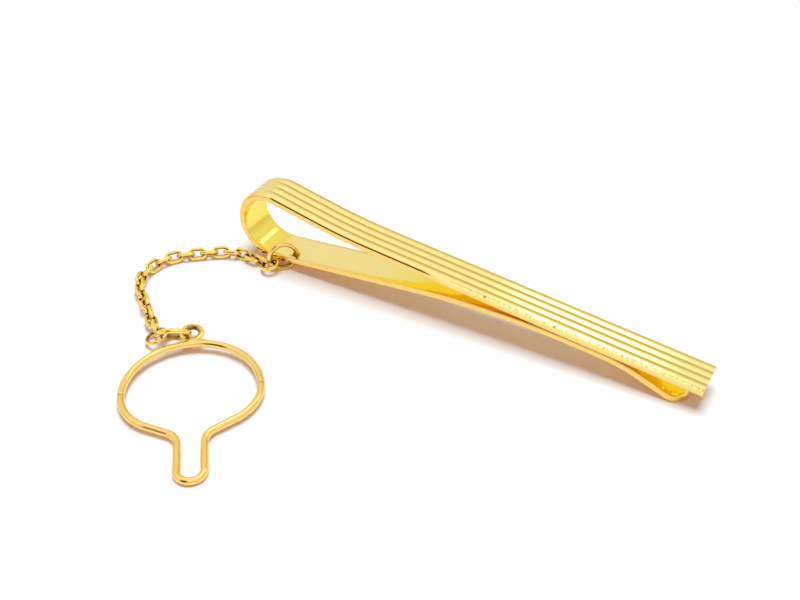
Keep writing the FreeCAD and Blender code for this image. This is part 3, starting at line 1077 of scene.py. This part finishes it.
@dataclass
class ButtonLoop:
    """The wire loop: an arc, the wire with the narrow neck, and the bail soldered on the arc's top."""

    # Wire, and how much proud of its solid it is
    wire: float = 0.8
    swell: float = 0.03
    sides: int = 32
    step: float = 0.12
    turn_step: float = 1.0
    fillet_turn_step: float = 4.0

    # Middle line
    radius: float = 7.2
    shoulder_radius: float = 5.3
    shoulder_slope: float = 29.0
    neck_width: float = 2.7
    neck_reach: float = 12.35
    neck_fillet: float = 1.8

    # Bail and the mound of solder under it
    bail_outer: float = 2.5
    bail_wire: float = 0.55
    bail_swell: float = 0.14
    mound_width: float = 0.9
    mound_height: float = 0.42

    # Filed seams where the two wires meet, with waves round the wire
    seam_width: float = 0.22
    seam_depth: float = 0.05
    seam_wave: float = 0.25
    seam_phase: float = 5.0

    def place(self) -> Place:
        """Place of the loop's middle, with along towards the neck, from the skin of the arc's solid.

        Returns:
            The place.
        """
        found = node_place("loop_arc")
        points, areas = node_triangles("loop_arc")
        away = found.middle - areas @ points / areas.sum()
        along = away - found.face * (away @ found.face)
        along = along / np.linalg.norm(along)
        return Place(found.middle, along, np.cross(found.face, along), found.face)

    def tube(self, line: BentLine, bail_at: float | None) -> Surface:
        """Wire carried along a flat line, with a filed seam at both ends and a mound under the bail.

        The radius drops by a narrow bell curve at each seam, in waves round the wire, and rises by a wide one
        on the side that faces the bail.

        Args:
            line: Middle line in the loop's plane, along and side in mm.
            bail_at: Distance along the line where the bail is soldered, or none.

        Returns:
            The surface, with its seams marked.
        """
        points, headings = line.arrays()
        gaps = np.linalg.norm(np.diff(points, axis=0), axis=1)
        length = np.concatenate([[0], np.cumsum(gaps)])
        from_seam = np.minimum(length, length[-1] - length)
        turn = full_turn(self.sides)
        wave = 1 - self.seam_wave * (1 - np.sin(3 * turn + self.seam_phase) * np.cos(2 * turn))
        seam = np.exp(-(from_seam / self.seam_width) ** 2)[:, None] * wave
        radius = (self.wire + self.swell) / 2 - self.seam_depth * seam
        if bail_at is not None:
            near = np.exp(-((length - bail_at) / self.mound_width) ** 2)[:, None]
            radius = radius + self.mound_height * near * np.clip(-np.cos(turn), 0, 1) ** 2
        normal = unit(headings + 90)
        out, up = radius * np.cos(turn), radius * np.sin(turn)
        grid = self.place().put(points[:, :1] + out * normal[:, :1], points[:, 1:] + out * normal[:, 1:], up)
        return Surface(grid, marks={"seam": seam ** 3})

    def start(self, side: float, heading: float) -> BentLine:
        """A line that starts beside the loop's middle."""
        return BentLine(np.array([0.0, side]), heading, step=self.step, turn_step=self.turn_step)

    def neck_line(self) -> BentLine:
        """Line of the lower wire: shoulders, straight flanks, two fillets and the round end of the neck.

        Returns:
            The line.
        """
        bottom = self.neck_width / 2
        swing = 90 - self.shoulder_slope
        cosine, sine = unit(self.shoulder_slope)
        shoulder_end = self.radius - self.shoulder_radius * (1 - sine)
        flank = (shoulder_end - bottom - self.neck_fillet * (1 - sine)) / cosine
        throat = (self.shoulder_radius + self.neck_fillet) * cosine + flank * sine
        straight = self.neck_reach - bottom - throat
        line = self.start(-self.radius, 0.0)
        line.go(Move.BEND, self.shoulder_radius, swing).go(Move.RUN, flank)
        line.turn_step = self.fillet_turn_step
        line.go(Move.BEND, self.neck_fillet, -swing).go(Move.RUN, straight)
        line.go(Move.BEND, bottom, 180)
        line.go(Move.RUN, straight).go(Move.BEND, self.neck_fillet, -swing)
        line.turn_step = self.turn_step
        return line.go(Move.RUN, flank).go(Move.BEND, self.shoulder_radius, swing)

    def build(self) -> dict[str, bpy.types.Object]:
        """Makes the arc and the neck wire.

        Returns:
            The two pieces by the name of their solid.
        """
        arc = self.start(self.radius, 180.0).go(Move.BEND, self.radius, 180)
        arc_middle = math.pi * self.radius / 2
        return {
            "loop_arc": self.tube(arc, arc_middle).piece("loop_arc_wire"),
            "loop_neck_wire": self.tube(self.neck_line(), None).piece("loop_neck_bent"),
        }

    def dress(self, dresser: Dresser) -> None:
        """Builds the loop and its bail and sets them on the loop's body.

        Args:
            dresser: What finishes the pieces.
        """
        for node, piece in self.build().items():
            dresser.dress(piece, WIRE_GOLD, "button_loop", node)
        WireRing("bail_ring", self.bail_outer, self.bail_wire, self.bail_swell).dress(dresser)


# The studio


@dataclass(frozen=True)
class SoftBox:
    """A lamp that faces the object.

    Args:
        name: Name of the lamp.
        place: Where it hangs, in metres.
        size: Width and height in metres.
        power: Power in watts.
        shows: True where the gold reflects the lamp itself.
    """

    name: str
    place: Point
    size: tuple[float, float]
    power: float
    shows: bool

    def hang(self) -> None:
        """Puts the lamp into the scene."""
        data = bpy.data.lights.new(self.name, "AREA")
        data.shape = "RECTANGLE"
        data.size, data.size_y = self.size
        data.energy = self.power
        made = bpy.data.objects.new(self.name, data)
        made.location = self.place
        made.rotation_euler = (-Vector(self.place)).to_track_quat("-Z", "Y").to_euler()
        made.visible_glossy = self.shows
        bpy.context.scene.collection.objects.link(made)


@dataclass
class Studio:
    """White table, soft light and the camera at the photograph's angle, in metres."""

    # Camera
    camera_at: Point = (0.04164, -0.08837, 0.07832)
    camera_looks: Point = (-0.3845, 0.6879, -0.6157)
    lens: float = 49.5
    sensor: float = 36.0
    nearest: float = 0.005

    # Table, which goes over to plain white between two distances from the object
    table_half: float = 1.5
    table_cloth: Colour = (0.73, 0.91, 1.0)
    table_glow: Colour = (0.23, 0.04, 0.0)
    table_near: tuple[float, float] = (0.075, 0.17)

    # Lamps, even light for the table, and how often light goes on between gold and gold
    lamps: tuple[SoftBox, ...] = (
        SoftBox("key lamp", (0.0, 0.02, 0.5), (0.28, 0.28), 2.2, False),
        SoftBox("overhead soft box", (-0.012, 0.17, 0.48), (0.085, 0.2), 0.115, True),
        SoftBox("back soft box", (0.13, 0.33, 0.35), (0.07, 0.07), 0.045, True),
    )
    fill: float = 0.27
    bounces: int = 12

    # Colours of the tent's walls by height, from the horizon at 0 to overhead at 1
    front_wall: tuple[Stop, ...] = (
        (0.0, (0.90, 0.78, 0.60)), (0.1, (0.80, 0.68, 0.50)), (0.5, (0.95, 0.92, 0.85)), (0.8, (1.1, 1.1, 1.1)))
    middle_wall: tuple[Stop, ...] = (
        (0.0, (0.90, 0.84, 0.72)), (0.1, (0.80, 0.74, 0.62)), (0.45, (0.95, 0.95, 0.94)),
        (0.66, (0.90, 0.87, 0.78)), (0.80, (1.0, 0.98, 0.92)), (0.92, (1.1, 1.1, 1.1)))
    back_wall: tuple[Stop, ...] = (
        (0.0, (1.0, 0.98, 0.90)), (0.1, (0.95, 0.90, 0.72)), (0.2, (0.62, 0.52, 0.28)),
        (0.42, (0.66, 0.58, 0.34)), (0.55, (0.90, 0.86, 0.72)), (0.66, (0.90, 0.87, 0.78)),
        (0.80, (1.0, 0.98, 0.92)), (0.92, (1.1, 1.1, 1.1)))
    screen: Colour = (0.11, 0.048, 0.01)

    # Where the middle wall, the back wall and the dark screen are, from nothing at low to full at high
    middle_spans: tuple[Span, ...] = (("Y", 0.0, 0.35),)
    back_spans: tuple[Span, ...] = (("Y", 0.74, 0.84), ("X", 0.22, 0.12))
    screen_spans: tuple[Span, ...] = (
        ("Z", 0.12, 0.25), ("Z", 0.84, 0.74), ("Y", -0.25, -0.40), ("X", -0.42, -0.30), ("X", 0.25, 0.12))

    def camera(self) -> None:
        """Sets the camera where the photograph was taken from."""
        data = bpy.data.cameras.new("photograph")
        data.lens = self.lens
        data.sensor_width = self.sensor
        data.clip_start = self.nearest
        made = bpy.data.objects.new("photograph", data)
        made.location = self.camera_at
        made.rotation_euler = Vector(self.camera_looks).to_track_quat("-Z", "Y").to_euler()
        bpy.context.scene.collection.objects.link(made)
        bpy.context.scene.camera = made

    def table(self) -> None:
        """A table that is white in full light and goes warm in the object's shade.

        A cool cloth and a warm glow add up to white, and shade takes away the cloth's part only. Far from the
        object it is plain white.
        """
        half = self.table_half
        corners = [(-half, -half, 0), (half, -half, 0), (half, half, 0), (-half, half, 0)]
        mesh = bpy.data.meshes.new("table")
        mesh.from_pydata(corners, [], [(0, 1, 2, 3)])
        made = bpy.data.objects.new("table", mesh)
        bpy.context.scene.collection.objects.link(made)
        material = bpy.data.materials.new("white table")
        material.use_nodes = True
        bench = NodeBench(material.node_tree)
        bench.tree.nodes.clear()
        output = bench.tree.nodes.new("ShaderNodeOutputMaterial")
        rays = bench.tree.nodes.new("ShaderNodeLightPath").outputs
        seen = bench.add("Math", {0: rays["Is Camera Ray"], 1: rays["Is Glossy Ray"]}, operation="MAXIMUM")
        cloth = bench.add("BsdfDiffuse", {"Color": opaque(self.table_cloth)})
        glow = bench.add("Emission", {"Color": opaque(self.table_glow), "Strength": seen})
        near = bench.add("AddShader", {0: cloth, 1: glow})
        far = bench.add("Emission", {"Strength": seen})
        place = bench.add("TexCoord", {}, "Object")
        distance = bench.add("VectorMath", {0: place}, "Value", operation="LENGTH")
        fade = bench.step(distance, *self.table_near)
        bench.feed(output, {"Surface": bench.add("MixShader", {"Fac": fade, 1: near, 2: far})})
        mesh.materials.append(material)

    def tent(self) -> None:
        """A light tent as the gold reflects it, over an even fill, in front of plain white.

        It is white overhead, dimmer and warmer low down, and has a dark screen in front.
        """
        world = bpy.data.worlds.new("tent")
        bpy.context.scene.world = world
        world.use_nodes = True
        bench = NodeBench(world.node_tree)
        bench.tree.nodes.clear()
        output = bench.tree.nodes.new("ShaderNodeOutputWorld")
        rays = bench.tree.nodes.new("ShaderNodeLightPath").outputs
        split = bench.tree.nodes.new("ShaderNodeSeparateXYZ")
        bench.feed(split, {"Vector": bench.add("TexCoord", {}, "Generated")})

        def wall(stops: tuple[Stop, ...]) -> NodeSocket:
            """Colour of a wall by height.

            Args:
                stops: Heights and their colours.

            Returns:
                The colour.
            """
            ramp = bench.tree.nodes.new("ShaderNodeValToRGB")
            while len(ramp.color_ramp.elements) < len(stops):
                ramp.color_ramp.elements.new(0.5)
            for element, (height, colour) in zip(ramp.color_ramp.elements, stops):
                element.position = height
                element.color = opaque(colour)
            bench.feed(ramp, {"Fac": split.outputs["Z"]})
            return ramp.outputs["Color"]

        def within(spans: tuple[Span, ...]) -> NodeSocket:
            """Share of a part of the tent by direction: the product of its spans along the axes.

            Args:
                spans: Axis, low and high of each span.

            Returns:
                The share.
            """
            total = None
            for axis, low, high in spans:
                step = bench.step(split.outputs[axis], low, high)
                total = step if total is None else bench.add("Math", {0: total, 1: step}, operation="MULTIPLY")
            return total

        shown = bench.colours(within(self.middle_spans), wall(self.front_wall), wall(self.middle_wall))
        shown = bench.colours(within(self.back_spans), shown, wall(self.back_wall))
        shown = bench.colours(within(self.screen_spans), shown, opaque(self.screen))

        white = opaque((1.0, 1.0, 1.0))
        fill = bench.add("Background", {"Color": white, "Strength": self.fill})
        tent = bench.add("Background", {"Color": shown})
        seen = bench.add("MixShader", {"Fac": rays["Is Glossy Ray"], 1: fill, 2: tent})
        plain = bench.add("Background", {"Color": white})
        seen = bench.add("MixShader", {"Fac": rays["Is Camera Ray"], 1: seen, 2: plain})
        bench.feed(output, {"Surface": seen})

    def build(self) -> None:
        """Sets up camera, table, tent and lamps."""
        bpy.context.scene.view_settings.view_transform = "Standard"
        bpy.context.scene.cycles.glossy_bounces = self.bounces
        self.camera()
        self.table()
        self.tent()
        for lamp in self.lamps:
            lamp.hang()


def main() -> None:
    """Builds the tie clip's pieces in order, then the studio round it."""
    logging.basicConfig(level=logging.INFO, format="%(name)s: %(message)s")
    dresser = Dresser()
    for part in (BentStrip(), *RINGS, CableChain(), ButtonLoop()):
        part.dress(dresser)
    Studio().build()


if __name__ == "__main__":
    main()
